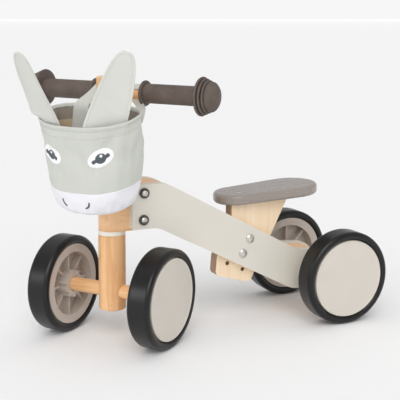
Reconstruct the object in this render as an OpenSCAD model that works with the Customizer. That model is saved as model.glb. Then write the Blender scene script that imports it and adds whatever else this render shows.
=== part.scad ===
// A wooden toddler's ride-on with four wheels, a steered front axle and a soft basket with an
// animal's face on the handlebar.
//
// Frame: +Z is up, -Y is forwards and +X is the rider's left. The origin is on the floor under the
// middle of the whole object. The steered assembly is drawn turned to the left, as it rests.
// Two working frames are used below: the bike frame has its zero on the floor under the rear axle,
// in the middle plane of the side panels, and the steered frame has its zero on the floor under
// the steering axis, with X along the front axle and -Y ahead of the front wheels.

/* [Wheels] */
// Diameter of each tyre
wheel_d = 140; // [134:1:150]
// Width of each tyre
tyre_w = 34; // [32:1:38]
// Radius of the tyre's rounded shoulders
tyre_round = 5.9; // [4:0.1:5.9]
// Diameter of the rim and of the cover disc inside the tyre
disc_d = 116; // [112:1:118]
// Distance between the two axles
wheelbase = 336; // [325:1:350]
// Distance between the middles of the rear tyres
rear_track = 165; // [160:1:175]
// Distance between the middles of the front tyres
front_track = 162; // [158:1:170]
// Diameter of the wooden axle dowels
axle_d = 20; // [18:0.5:22]
// Diameter of the steel bolts that the wheels turn on
wheel_bolt_d = 8; // [7:0.5:8]
// Number of ribs on the inner side of each wheel
rib_count = 8; // [6:1:10]

/* [Frame] */
// Thickness of the plywood side panels
panel_t = 12; // [10:0.5:14]
// Clear width between the two side panels
panel_gap = 38; // [36:0.5:40]
// Height of the flat top of the front of the frame
head_top = 223.5; // [220:0.5:228]
// Height of the underside of the front of the frame
head_low = 161; // [158:0.5:165]
// Radius of the rounded rear end of each panel
tail_r = 31; // [28:0.5:33]

/* [Seat] */
// Height of the seat's top, over the middle of the seat
seat_top = 198.5; // [190:0.5:205]
// Thickness of the seat
seat_t = 15; // [12:0.5:18]
// Upward tilt of the seat towards the rear, in degrees
seat_tilt = 3; // [0:0.5:5]
// Radius of the seat's wide rear end
seat_rear_r = 41.5; // [38:0.5:45]
// Radius of the seat's front end
seat_front_r = 35; // [32:0.5:38]
// Thickness of the board that carries the seat
board_t = 18; // [15:0.5:20]

/* [Steering] */
// Angle that the front assembly is turned at rest, in degrees
rest_turn = 35.6; // [0:0.1:40]
// Diameter of the steering post, above and below the frame
post_d = 38; // [36:0.5:40]
// Height of the top of the steering post
post_top = 370; // [365:1:380]
// Height of the bottom of the steering post
post_low = 44; // [38:1:46]
// Diameter of the steel spindle inside the post
spindle_d = 16; // [14:0.5:18]
// Height of the handlebar's middle
bar_z = 347; // [342:1:350]
// Diameter of the wooden handlebar
bar_d = 20; // [18:0.5:22]
// Half the length over both grips
grip_end = 151; // [146:1:156]
// Distance from the middle of the bar to the inner end of a grip
grip_start = 37.5; // [37:0.5:42]

/* [Basket] */
// Half the width of the basket's rim
rim_half = 71; // [68:0.5:74]
// Height of the rim at the back of the basket
rim_z = 333; // [330:1:335]
// Thickness of the lined cloth wall
cloth_t = 2.4; // [2:0.2:3]
// Length of an ear from the rim
ear_len = 111; // [95:1:115]
// Width of an ear at its base
ear_w = 54; // [48:1:60]

/* [Hidden] */
WHEELS = ["front_left", "front_right", "rear_left", "rear_right"];

$fn = 64;
fit = 0.05;                       // radial clearance of a pin or shaft in its hole
gap = 0.3;                        // gap between faces that pass each other
bike_x = 12.7;                    // where the bike frame's zero is, from the origin
bike_y = 203;
axle_z = wheel_d / 2;
panel_x = panel_gap / 2;          // inner face of a panel, from the middle plane
post_r = post_d / 2;

paint = [0.88, 0.87, 0.83];
beech = [0.87, 0.68, 0.49];
ply = [0.92, 0.83, 0.70];
taupe = [0.45, 0.41, 0.38];
disc = [0.80, 0.77, 0.74];
rim_paint = [0.71, 0.65, 0.60];
rubber = [0.12, 0.12, 0.12];
zinc = [0.75, 0.75, 0.76];
nylon = [0.96, 0.95, 0.93];
cloth = [0.85, 0.86, 0.84];
white_cloth = [0.95, 0.95, 0.96];

// ---- frames and small helpers ----

// Places a child drawn in the bike frame
module in_bike() translate([bike_x, bike_y, 0]) children();

// Places a child drawn in the steered frame
module in_steer() in_bike() translate([0, -wheelbase, 0]) rotate(rest_turn) children();

// A cylinder along X from x0 to x1
module rod_x(d, x0, x1) translate([x0, 0, 0]) rotate([0, 90, 0]) cylinder(d = d, h = x1 - x0);

// Extrudes an outline drawn in the Y-Z plane along X, from x0 to x1
module plate_x(x0, x1) translate([x0, 0, 0]) rotate([90, 0, 90]) linear_extrude(x1 - x0) children();

function unit(v) = v / norm(v);

// The arc of radius r that rounds corner b between its neighbours a and c
function corner(a, b, c, r, n = 10) = r == 0 ? [b] :
  let (u = unit(a - b), w = unit(c - b), half = acos(u * w) / 2)
  let (mid = b + unit(u + w) * r / sin(half), from = b + u * r / tan(half) - mid)
  let (to = b + w * r / tan(half) - mid, a0 = atan2(from.y, from.x))
  let (sweep = (atan2(to.y, to.x) - a0 + 540) % 360 - 180)
  [for (i = [0:n]) mid + r * [cos(a0 + sweep * i / n), sin(a0 + sweep * i / n)]];

function xy(p) = [p.x, p.y];

// An outline whose corners are given as [x, y, radius]
function outline(pts) = let (n = len(pts))
  [for (i = [0:n - 1]) each corner(xy(pts[(i + n - 1) % n]), xy(pts[i]), xy(pts[(i + 1) % n]),
                                   pts[i].z)];

// A rectangle from [x0, y0] to [x1, y1] with true round corners of radius r
module soft_rect(x0, y0, x1, y1, r) {
  translate([x0, y0 + r]) square([x1 - x0, y1 - y0 - 2 * r]);
  translate([x0 + r, y0]) square([x1 - x0 - 2 * r, y1 - y0]);
  for (x = [x0 + r, x1 - r], y = [y0 + r, y1 - r]) translate([x, y]) circle(r);
}

// ---- frame ----

front_y = -317.5;                 // front ends of the panels, behind the steering axis
front_holes = [[-300.5, 212], [-301.5, 174.5]];
seat_holes = [[-131, 130], [-142.5, 109]];
rear_holes = [[-26, 86], [-30, 52]];
spare_holes = [[-162, 93], [-136, 81]];
tail = [-17, 68];                 // middle of the rounded rear end
tail_bend = tail_r - 1.5;         // radius of its two corners, with a short flat between them
bolt_d = 6;
screw_head_d = 7;                 // heads of the screws that hold the two dowels
spare_hole_d = 6.4;               // wide enough for a seat bolt to pass
head_hole_d = spindle_d + 8;      // hole for the steering bushes
block_low = head_low - 3;         // the head block stands below the panels

panel_outline = outline([[front_y, head_low, 2], [front_y, head_top, 2], [-267, head_top, 40],
  [-47, 104, 60], [tail.x + tail_r, tail.y + tail_r, tail_bend],
  [tail.x + tail_r, tail.y - tail_r, tail_bend], [-56, 44, 50], [-279, head_low, 40]]);

module panel_shape() {
  difference() {
    polygon(panel_outline);
    for (p = concat(front_holes, seat_holes, rear_holes)) translate(p) circle(d = bolt_d + 2 * fit);
    translate([0, axle_z]) circle(d = axle_d + 2 * fit);
  }
}

module side_panel_left() color(paint) in_bike() plate_x(panel_x, panel_x + panel_t) panel_shape();

module side_panel_right() color(paint) in_bike() plate_x(-panel_x - panel_t, -panel_x) panel_shape();

module head_block() color(beech) in_bike() difference() {
  union() {
    translate([0, -wheelbase, block_low]) cylinder(r = post_r - 0.5, h = head_top - block_low);
    translate([-panel_x, -wheelbase, block_low]) cube([panel_gap, 64, head_top - block_low]);
  }
  translate([0, -wheelbase, block_low - 1]) cylinder(d = head_hole_d, h = head_top - block_low + 2);
  for (p = front_holes) translate([0, p.x, p.y]) rod_x(bolt_d + 2 * fit, -panel_x - 1, panel_x + 1);
}

block_r = tail_r - 3;             // radius of the rear block's rounded end
rear_outline = outline([[-64, 58, 4], [-64, 108, 4], [-47, 101, 20],
  [tail.x + block_r, tail.y + block_r, block_r - 0.2],
  [tail.x + block_r, tail.y - block_r, block_r - 0.2],
  [-46, tail.y - block_r, 20]]);

module rear_block() color(beech) in_bike() difference() {
  plate_x(-panel_x, panel_x) difference() {
    polygon(rear_outline);
    for (p = rear_holes) translate(p) circle(d = bolt_d + 2 * fit);
    translate([0, axle_z]) circle(d = axle_d + 2 * fit);
  }
  translate([0, 0, tail.y - tail_r]) cylinder(d = 4 + 2 * fit, h = axle_z - axle_d / 2 - 30);
  translate([0, 0, tail.y - tail_r]) cylinder(d = screw_head_d + 0.2, h = 9.2);
}

// A domed screw head along X with a hex socket, its seat at x = 0
module button_head(d, h) difference() {
  rotate([0, 90, 0]) rotate_extrude() intersection() {
    square([d / 2, h]);
    translate([0, h - d * 0.75]) circle(d * 0.75);
  }
  translate([h - 1.6, 0, 0]) rotate([0, 90, 0]) cylinder(d = d * 0.42, h = 3, $fn = 6);
}

// A bolt along X: head on the left panel, threaded end past the right panel
module frame_bolt(head_d, head_h, seat_x) {
  translate([seat_x, 0, 0]) button_head(head_d, head_h);
  rod_x(bolt_d, -panel_x - panel_t - 6.5, seat_x + 0.5);
}

// A cap nut on the outer face of the right panel
module cap_nut() translate([-panel_x - panel_t, 0, 0]) difference() {
  union() {
    rotate([0, -90, 0]) cylinder(d = 11.5, h = 5.5, $fn = 6);
    translate([-5, 0, 0]) intersection() {
      sphere(4.6);
      rod_x(10, -6, 1);
    }
  }
  rod_x(bolt_d + 2 * fit, -7.5, 1);
}

module at_holes(holes) in_bike() for (p = holes) translate([0, p.x, p.y]) children();

module front_bolt_caps() color(rubber) at_holes(front_holes)
  translate([panel_x + panel_t, 0, 0]) rotate([0, 90, 0]) rotate_extrude()
    soft_rect(bolt_d / 2 + fit, 0, 7.2, 3.4, 1);

module front_bolts() color(zinc) at_holes(front_holes)
  frame_bolt(8.5, 2.6, panel_x + panel_t + 3.4 + fit);

module front_nuts() color(zinc) at_holes(front_holes) cap_nut();

module seat_bolts() color(zinc) at_holes(seat_holes) frame_bolt(13, 4, panel_x + panel_t);

module seat_nuts() color(zinc) at_holes(seat_holes) cap_nut();

module rear_bolts() color(zinc) at_holes(rear_holes) frame_bolt(13, 4, panel_x + panel_t);

module rear_nuts() color(zinc) at_holes(rear_holes) cap_nut();

module seat_spacers() color(nylon) at_holes(seat_holes) difference() {
  rod_x(16, -panel_x, board_x[0]);
  rod_x(bolt_d + 2 * fit, -panel_x - 1, panel_x);
}

// ---- seat ----

seat_mid_y = -97;                 // the height of the seat is measured here
seat_front_y = -137;
seat_rear_y = -45;
seat_screw_y = [-139, -109];
seat_screw_d = 4;

// Places a child whose z = 0 is the underside of the tilted seat
module on_seat() in_bike() translate([0, seat_mid_y, seat_top - seat_t]) rotate([seat_tilt, 0, 0])
  translate([0, -seat_mid_y, 0]) children();

// Places a child on the underside of the seat at each of its two screws
module at_seat_screws() on_seat() for (y = seat_screw_y)
  translate([(board_x[0] + board_x[1]) / 2, y, 0]) children();

// One rounded end of the seat
module seat_end(r) rotate_extrude($fn = 48) {
  square([r - 4.5, seat_t]);
  translate([0, 4.5]) square([r, seat_t - 9]);
  for (z = [4.5, seat_t - 4.5]) translate([r - 4.5, z]) circle(4.5, $fn = 24);
}

module seat() color(taupe) difference() {
  on_seat() hull() {
    translate([0, seat_front_y, 0]) seat_end(seat_front_r);
    translate([0, seat_rear_y, 0]) seat_end(seat_rear_r);
  }
  at_seat_screws() translate([0, 0, -1]) {
    cylinder(d = seat_screw_d + 2 * fit, h = seat_t + 2);
    translate([0, 0, seat_t - 2]) cylinder(d = 7.2, h = 4);
  }
}

board_x = [panel_x - board_t, panel_x]; // the board lies against the left panel
board_outline = outline([[-156, 205, 0], [-156, 163, 15], [-179.5, 104.5, 20], [-181.5, 77, 8],
  [-123.5, 59.5, 10], [-50, 205, 0]]);

module seat_board() color(ply) difference() {
  intersection() {
    in_bike() plate_x(board_x[0], board_x[1]) difference() {
      polygon(board_outline);
      for (p = seat_holes) translate(p) circle(d = bolt_d + 2 * fit);
      for (p = spare_holes) translate(p) circle(d = spare_hole_d);
    }
    on_seat() translate([-50, -250, -200]) cube([100, 300, 200]);
  }
  at_seat_screws() translate([0, 0, -30]) cylinder(d = seat_screw_d + 2 * fit, h = 40);
}

module seat_screws() color(zinc) at_seat_screws() difference() {
  union() {
    translate([0, 0, -28]) cylinder(d = seat_screw_d, h = seat_t + 27);
    translate([0, 0, seat_t - 2 + fit]) cylinder(d = 7, h = 1.6);
  }
  translate([0, 0, seat_t - 1.4]) cylinder(d = 3, h = 2, $fn = 6);
}

// ---- axles and wheels ----
// A wheel is drawn with its axle along X, the middle of its tyre at x = 0 and its outer side at +X.

hub_r = 20;
hub_teeth = 10;
hub_in = -tyre_w / 2 + 1;         // inner end of the hub
dowel_in = -10.5;                 // where a dowel's end stands, inside the hub's cup
hub_out = 8;                      // outer end of the hub
core_in = -tyre_w / 2 + 2.5;      // inner edge of the rim
cover_x = tyre_w / 2 - 3.5;       // inner face of the cover disc
wheel_bush_d = 13;

// Moves a child from the wheel's own place to one of the four wheels
module at_wheel(name) {
  side = (name == "front_left" || name == "rear_left") ? 1 : -1;
  turn = side == 1 ? 0 : 180;
  if (name == "rear_left" || name == "rear_right")
    in_bike() rotate(turn) translate([rear_track / 2, 0, axle_z]) children();
  else
    in_steer() rotate(turn) translate([front_track / 2, 0, axle_z]) children();
}

// Turns a profile drawn with its radius along X and the wheel's axle along Y
module spin_x(fn = 96) rotate([0, 90, 0]) rotate_extrude($fn = fn) children();

module tyre(name) color(rubber) at_wheel(name) spin_x()
  soft_rect(disc_d / 2, -tyre_w / 2, wheel_d / 2, tyre_w / 2, tyre_round);

module wheel_core(name) color(rim_paint) at_wheel(name) difference() {
  union() {
    spin_x() {
      translate([46, core_in]) square([disc_d / 2 - fit - 46, cover_x - core_in - 1]);
      translate([wheel_bush_d / 2 + fit, 3]) square([48 - wheel_bush_d / 2, 4]);
      translate([wheel_bush_d / 2 + fit, dowel_in + 1]) square([6, hub_out - dowel_in - 1]);
      translate([axle_d / 2 + 0.6, hub_in]) square([hub_r - axle_d / 2 - 0.6, hub_out - hub_in]);
    }
    for (i = [0:rib_count - 1]) rotate([i * 360 / rib_count, 0, 0])
      translate([-7, -1.6, hub_r - 1]) cube([11, 3.2, 47 - hub_r]);
  }
  for (i = [0:hub_teeth - 1]) rotate([(i + 0.5) * 360 / hub_teeth, 0, 0])
    translate([0, 0, hub_r + 1]) rod_x(8, hub_in - 1, 1);
}

module wheel_cover(name) color(disc) at_wheel(name) spin_x() {
  translate([0, cover_x]) square([disc_d / 2 - 2.4, 3]);
  translate([0, cover_x + 0.6]) square([disc_d / 2 - 0.3, 1.5]);
  translate([disc_d / 2 - 2, cover_x + 1.9]) circle(1.7, $fn = 24);
  translate([43, hub_out]) square([2.5, cover_x - hub_out + 1]);
}

module wheel_bush(name) color(nylon) at_wheel(name) spin_x()
  translate([wheel_bolt_d / 2 + fit, dowel_in + 0.7])
    square([(wheel_bush_d - wheel_bolt_d) / 2 - fit, hub_out - dowel_in - 0.7]);

module axle_bolt(name) color(zinc) at_wheel(name) {
  rod_x(wheel_bolt_d, dowel_in - 25, hub_out + 1);
  translate([hub_out + gap, 0, 0]) difference() {
    rod_x(16, 0, 4.2);
    translate([2, 0, 0]) rotate([0, 90, 0]) cylinder(d = 6, h = 4, $fn = 6);
  }
}

// A dowel along X with a hole in each end for the wheel bolts and one across for its screw
module dowel(half) difference() {
  rod_x(axle_d, -half, half);
  for (side = [-1, 1]) rotate(side == 1 ? 0 : 180)
    rod_x(wheel_bolt_d + 2 * fit, half - 25.5, half + 1);
  translate([0, 0, -axle_d]) cylinder(d = 4 + 2 * fit, h = axle_d + 4);
}

module rear_axle() color(beech) in_bike() translate([0, 0, axle_z]) dowel(rear_track / 2 + dowel_in);

module front_axle() color(beech) in_steer() translate([0, 0, axle_z])
  dowel(front_track / 2 + dowel_in);

// A wood screw that comes up through the post or block and holds its dowel
module dowel_screw(from_z) difference() {
  union() {
    translate([0, 0, from_z]) cylinder(d = 4, h = axle_z - from_z + 3);
    translate([0, 0, from_z]) cylinder(d = screw_head_d, h = 2);
  }
  translate([0, 0, from_z - 1]) cylinder(d = 3, h = 2.2, $fn = 6);
}

module rear_axle_screw() color(zinc) in_bike() dowel_screw(tail.y - 28 + 4);

module front_axle_screw() color(zinc) in_steer() dowel_screw(post_low + gap);

// ---- steering ----

bush_flange = 5.8;                // thickness of a bush's flange
bush_len = 24;                    // length of a bush inside the block
bar_back = post_r + bar_d / 2 - 3; // the bar sits 3 mm deep in the back of the post
lower_top = block_low - bush_flange - gap;
upper_low = head_top + bush_flange + gap;
spindle_z = [96, 296];
pin_z = [130, 262];
bar_screw_x = 9;
grip_r = 13.3;
flange_r = 17.6;
ring_r = [26.2, 24.2, 22.2];      // the three rings at the outer end of a grip

// A nylon bush: a sleeve in the block and a flange on its face; up is 1 or -1
module bush(z, up) in_steer() translate([0, 0, z]) mirror([0, 0, up == 1 ? 0 : 1]) difference() {
  union() {
    cylinder(d = post_d, h = bush_flange);
    translate([0, 0, -bush_len]) cylinder(d = head_hole_d - 2 * fit, h = bush_len + 1);
  }
  translate([0, 0, -bush_len - 1]) cylinder(d = spindle_d + 2 * fit, h = bush_len + 10);
}

module steering_bush_lower() color(nylon) bush(block_low, -1);

module steering_bush_upper() color(nylon) bush(head_top, 1);

module steering_spindle() color(zinc) in_steer() difference() {
  translate([0, 0, spindle_z[0]]) cylinder(d = spindle_d, h = spindle_z[1] - spindle_z[0]);
  for (z = pin_z) translate([0, 0, z]) rod_x(5 + 2 * fit, -post_r, post_r);
}

module spindle_pins() color(beech) in_steer() for (z = pin_z) translate([0, 0, z])
  rod_x(5, -post_r + 1, post_r - 1);

// A post with its upper and lower edges broken by a small chamfer
module round_post(z0, z1) rotate_extrude() polygon([[0, z0], [post_r - 1.5, z0], [post_r, z0 + 1.5],
  [post_r, z1 - 1.5], [post_r - 1.5, z1], [0, z1]]);

module post_lower() color(beech) in_steer() difference() {
  round_post(post_low, lower_top);
  translate([0, 0, spindle_z[0] - 1]) cylinder(d = spindle_d + 2 * fit, h = 100);
  translate([0, 0, axle_z]) rod_x(axle_d + 2 * fit, -post_r - 1, post_r + 1);
  translate([0, 0, pin_z[0]]) rod_x(5 + 2 * fit, -post_r - 1, post_r + 1);
  translate([0, 0, post_low - 1]) cylinder(d = 4 + 2 * fit, h = 30);
  translate([0, 0, post_low - 1]) cylinder(d = screw_head_d + 0.2, h = 3.5);
}

module post_upper() color(beech) in_steer() difference() {
  round_post(upper_low, post_top);
  translate([0, 0, upper_low - 1]) cylinder(d = spindle_d + 2 * fit, h = spindle_z[1] - upper_low + 2);
  translate([0, 0, pin_z[1]]) rod_x(5 + 2 * fit, -post_r - 1, post_r + 1);
  translate([0, bar_back, bar_z]) rod_x(bar_d + 2 * fit, -post_r - 1, post_r + 1);
  for (x = [-bar_screw_x, bar_screw_x]) translate([x, -8, bar_z]) rotate([-90, 0, 0])
    cylinder(d = 5 + 2 * fit, h = 40);
}

module handlebar() color(beech) in_steer() translate([0, bar_back, bar_z]) difference() {
  rod_x(bar_d, -grip_end + 12, grip_end - 12);
  for (x = [-bar_screw_x, bar_screw_x]) translate([x, 0, 0]) rotate([-90, 0, 0]) {
    translate([0, 0, -20]) cylinder(d = 5 + 2 * fit, h = 40);
    translate([0, 0, bar_d / 2 - 3]) cylinder(d = 9.2, h = 5);
  }
}

module handlebar_screws() color(zinc) in_steer() for (x = [-bar_screw_x, bar_screw_x])
  translate([x, bar_back, bar_z]) rotate([-90, 0, 0]) difference() {
    union() {
      translate([0, 0, -32]) cylinder(d = 5, h = 32 + bar_d / 2 - 2);
      translate([0, 0, bar_d / 2 - 3 + fit]) cylinder(d = 9, h = 2.4);
    }
    translate([0, 0, bar_d / 2 - 2]) cylinder(d = 3, h = 3, $fn = 6);
  }

// Half the section of a grip: radius along X, distance from the middle of the bar along Y
module grip_section() {
  bore = bar_d / 2 + fit;
  top = grip_end - 11;
  difference() {
    union() {
      translate([bore - 1, grip_start + 1]) square([grip_r - bore + 1, top - grip_start]);
      soft_rect(bore - 1, grip_start, flange_r, grip_start + 4.2, 2);
      for (i = [0:2]) soft_rect(bore - 1, grip_end - 26 + 4.6 * i, ring_r[i],
                                grip_end - 22.6 + 4.6 * i, 1.65);
      translate([0, grip_end - 12.6]) intersection() {
        scale([1.66, 1]) circle(12.6);
        square([20, 14]);
      }
      translate([bore - 1, grip_end - 24]) square([19.5 - bore, 12]);
    }
    square([bore, grip_end - 12 + gap]);
    translate([-40, 0]) square([40, grip_end]);
  }
}

module grip(side) color(taupe) in_steer() translate([0, bar_back, bar_z]) rotate(side == 1 ? 0 : 180)
  rotate([90, 0, 90]) rotate_extrude() grip_section();

// ---- basket ----
// Each level of the basket is one closed curve, drawn in the steered frame with the face at -Y.
// Its front half is a full round bulge and its back half a flat curve that lies along the post.

back_v = 21.5;                    // the back wall, ahead of the steering axis
seam_row = 3;                     // the level where the white muzzle begins
levels = [                        // half width, middle, front and back depth, height at back, fall
  [rim_half, 49.5, 45, 28, rim_z, 0.31],
  [rim_half - 1, 39, 54, 17.5, rim_z - 27, 0.30],
  [rim_half - 2, 33.5, 57, 12, rim_z - 55, 0.29],
  [rim_half - 5, 31, 56, 9.5, rim_z - 92, 0.27],
  [rim_half - 13.5, 30, 51, 8.5, rim_z - 117, 0.24],
  [rim_half - 24, 29.5, 41.5, 8, rim_z - 130, 0.2],
  [rim_half - 40, 29, 25, 7.5, rim_z - 133, 0.16]];
level_sides = 44;

function power(x, p) = sign(x) * pow(abs(x), p);

// A point of a level at angle a, moved inwards by inset
function level_point(row, a, inset, lift) =
  let (front = sin(a) > 0, n = front ? 2.3 : 2.9)
  let (depth = (front ? row[2] : row[3]) - inset, u = (row[0] - inset) * power(cos(a), 2 / n))
  let (v = row[1] + depth * power(sin(a), 2 / n))
  [u, -v, row[4] - (v - back_v) * row[5] + lift];

function level(row, inset = 0, lift = 0) =
  [for (i = [0:level_sides - 1]) level_point(row, i * 360 / level_sides, inset, lift)];

// A closed solid through rings of points that all have the same count, capped at both ends
module loft(rings) {
  n = len(rings[0]);
  m = len(rings);
  sides = [for (r = [0:m - 2], i = [0:n - 1])
    let (a = r * n + i, b = r * n + (i + 1) % n)
    each [[a, b, b + n], [a, b + n, a + n]]];
  polyhedron([for (r = rings) each r],
             concat([[for (i = [n - 1:-1:0]) i]], sides, [[for (i = [0:n - 1]) (m - 1) * n + i]]));
}

// A closed solid through rings that close on themselves, as a tube bent to a ring
module ring_loft(rings) {
  n = len(rings[0]);
  m = len(rings);
  polyhedron([for (r = rings) each r], [for (r = [0:m - 1], i = [0:n - 1])
    let (a = r * n + i, b = r * n + (i + 1) % n, c = ((r + 1) % m) * n)
    each [[a, b, c + (i + 1) % n], [a, c + (i + 1) % n, c + i]]]);
}

module basket_body() color(cloth) in_steer() {
  last = seam_row;
  ring_loft(concat([for (k = [last:-1:0]) level(levels[k])],
                   [for (k = [0:last]) level(levels[k], cloth_t)]));
}

module basket_muzzle() color(white_cloth) in_steer() {
  last = len(levels) - 1;
  first = seam_row;
  outer = [for (k = [last:-1:first]) level(levels[k], 0, -gap)];
  inner = [for (k = [first:last]) level(levels[k], cloth_t, k == first ? -gap : cloth_t)];
  loft(concat(outer, inner));
}

// A flat ear that stands up from the rim. The cloth is soft, so the two ears don't hang alike. For
// each ear: the point [half width, depth, height] where its middle line leaves the rim, its turn,
// its tilt forwards, its lean outwards, and how far up its inner and outer edges begin.
ear_spots = [[[37.8, 78.5, 303.3], 35, 9, 16.5, 6, 27], [[44.2, 81.2, 307.3], 17.5, 27, -4, 12, 17]];
ear_t = 3;
ear_rows = 16;

// Half width of an ear at the height y along its middle line
function ear_half(y) = ear_w / 2 * pow(1 - pow(y / ear_len, 1.5), 0.36);

// The heights of the outline's points, closer together near the tip
function ear_heights(y0) = [for (k = [0:ear_rows]) y0 + (ear_len - y0) * sin(90 * k / ear_rows)];

module ear(side, spot) in_steer() translate([side * spot[0].x, -spot[0].y, spot[0].z])
  rotate([0, 0, side * spot[1]]) rotate([spot[2], 0, 0]) rotate([90, side * spot[3], 0])
    linear_extrude(ear_t, center = true)
      polygon(concat([for (y = ear_heights(spot[4])) [-side * ear_half(y), y]],
                     [for (k = [ear_rows - 1:-1:0]) let (y = ear_heights(spot[5])[k])
                       [side * ear_half(y), y]]));

module ear_left() color(cloth) ear(1, ear_spots[0]);

module ear_right() color(cloth) ear(-1, ear_spots[1]);

// A strap: a loop round the bar and a band past the post to the back of the rim
strap_x = [20.3, 36.8];
strap_t = 2;

module strap(side) color(cloth) in_steer() translate([side == 1 ? strap_x[0] : -strap_x[1], 0, 0]) {
  wide = strap_x[1] - strap_x[0];
  translate([0, bar_back, bar_z]) difference() {
    rod_x(bar_d + 2 * gap + 2 * strap_t, 0, wide);
    rod_x(bar_d + 2 * gap, -1, wide + 1);
  }
  plate_x(0, wide) polygon([[bar_back - 3, bar_z - bar_d / 2 - gap - strap_t],
    [bar_back - 3, bar_z - bar_d / 2 - gap - 0.2], [-back_v + gap + 2, rim_z + 2],
    [-back_v + gap + 0.2, rim_z + 2], [-back_v + gap + 0.2, rim_z - 4],
    [-back_v + gap + 2, rim_z - 4], [-back_v + gap + 2.5, rim_z - 0.6]]);
}

side_panel_left();
side_panel_right();
head_block();
rear_block();
seat_board();
seat();
seat_screws();
seat_spacers();
seat_bolts();
seat_nuts();
front_bolts();
front_bolt_caps();
front_nuts();
rear_bolts();
rear_nuts();
rear_axle();
rear_axle_screw();
axle_bolt("rear_left");  // axle_bolt_rear_left
axle_bolt("rear_right");  // axle_bolt_rear_right
steering_bush_lower();
steering_bush_upper();
post_lower();
post_upper();
steering_spindle();
spindle_pins();
handlebar();
handlebar_screws();
grip(1);  // grip_left
grip(-1);  // grip_right
front_axle();
front_axle_screw();
axle_bolt("front_left");  // axle_bolt_front_left
axle_bolt("front_right");  // axle_bolt_front_right
basket_body();
basket_muzzle();
ear_left();
ear_right();
strap(1);  // strap_left
strap(-1);  // strap_right
for (name = WHEELS) {
  tyre(name);
  wheel_core(name);
  wheel_cover(name);
  wheel_bush(name);
}
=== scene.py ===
# %% [markdown]
# # A wooden toddler's ride-on with a cloth basket
#
# This lesson dresses a finished mechanical model. The model has four wheels, a wooden frame, a
# turning front post and a sewn basket that hangs on the handlebar. The hard pieces arrive from CAD
# with the right shape, so they stay as they are and only get a finish. The cloth pieces arrive as
# plain solids, and each is sewn again here as real cloth with a hem, stitches, a lining and a face.
#
# Everything is in metres. +Z is up, -Y is forwards and +X is the rider's left.

# %% Load the frame
import math

import bpy
from mathutils import Matrix, Vector, noise


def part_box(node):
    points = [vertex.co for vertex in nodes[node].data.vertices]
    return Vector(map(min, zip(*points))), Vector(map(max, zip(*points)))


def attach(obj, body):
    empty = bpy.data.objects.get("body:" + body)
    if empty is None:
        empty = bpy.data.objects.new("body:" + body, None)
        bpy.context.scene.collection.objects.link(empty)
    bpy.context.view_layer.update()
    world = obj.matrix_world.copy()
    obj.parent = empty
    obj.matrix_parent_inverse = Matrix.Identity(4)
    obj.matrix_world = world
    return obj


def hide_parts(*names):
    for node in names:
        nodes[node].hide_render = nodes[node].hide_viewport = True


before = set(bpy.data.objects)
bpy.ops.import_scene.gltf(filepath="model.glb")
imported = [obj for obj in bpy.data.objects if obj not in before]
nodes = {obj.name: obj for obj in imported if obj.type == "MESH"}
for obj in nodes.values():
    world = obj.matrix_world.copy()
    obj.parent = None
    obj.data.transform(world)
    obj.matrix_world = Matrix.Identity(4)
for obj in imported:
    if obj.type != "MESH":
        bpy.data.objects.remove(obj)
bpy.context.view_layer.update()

MM = 0.001
print("pieces from CAD:", len(nodes))

# %% [markdown]
# ## The steered working frame
#
# The front of the ride-on rests turned to the left. Cloth on the handlebar is far easier to draw in
# a frame that turns with it, so one small function takes a point as "how far along the axle, how
# far ahead of the post, how high" in millimetres and gives it back in the model's own metres. The
# post's place is read from the CAD spindle. The turn is typed in degrees, the same number as in
# the CAD model.

# %% The steered frame
low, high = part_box("steering_spindle")
POST = Vector(((low[0] + high[0]) / 2, (low[1] + high[1]) / 2, 0))
TURN = math.radians(35.6)
ACROSS = Vector((math.cos(TURN), math.sin(TURN), 0))
AHEAD = Vector((math.sin(TURN), -math.cos(TURN), 0))
UP = Vector((0, 0, 1))


def steered(u, f, z):
    return POST + (ACROSS * u + AHEAD * f + UP * z) * MM


print("post stands at", [round(v, 4) for v in POST], "turned", round(math.degrees(TURN), 1))

# %% [markdown]
# ## Helpers for finishes
#
# Every finish here is procedural: it is computed from the surface's own position, so it needs no
# picture and has no seams. Object coordinates are in metres, which makes a scale of 1000 mean one
# bump per millimetre. A few short helpers keep each recipe readable: one starts a material, one
# adds noise, one turns a number into a colour, and one turns a height into a bump.

# %% Material helpers


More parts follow.
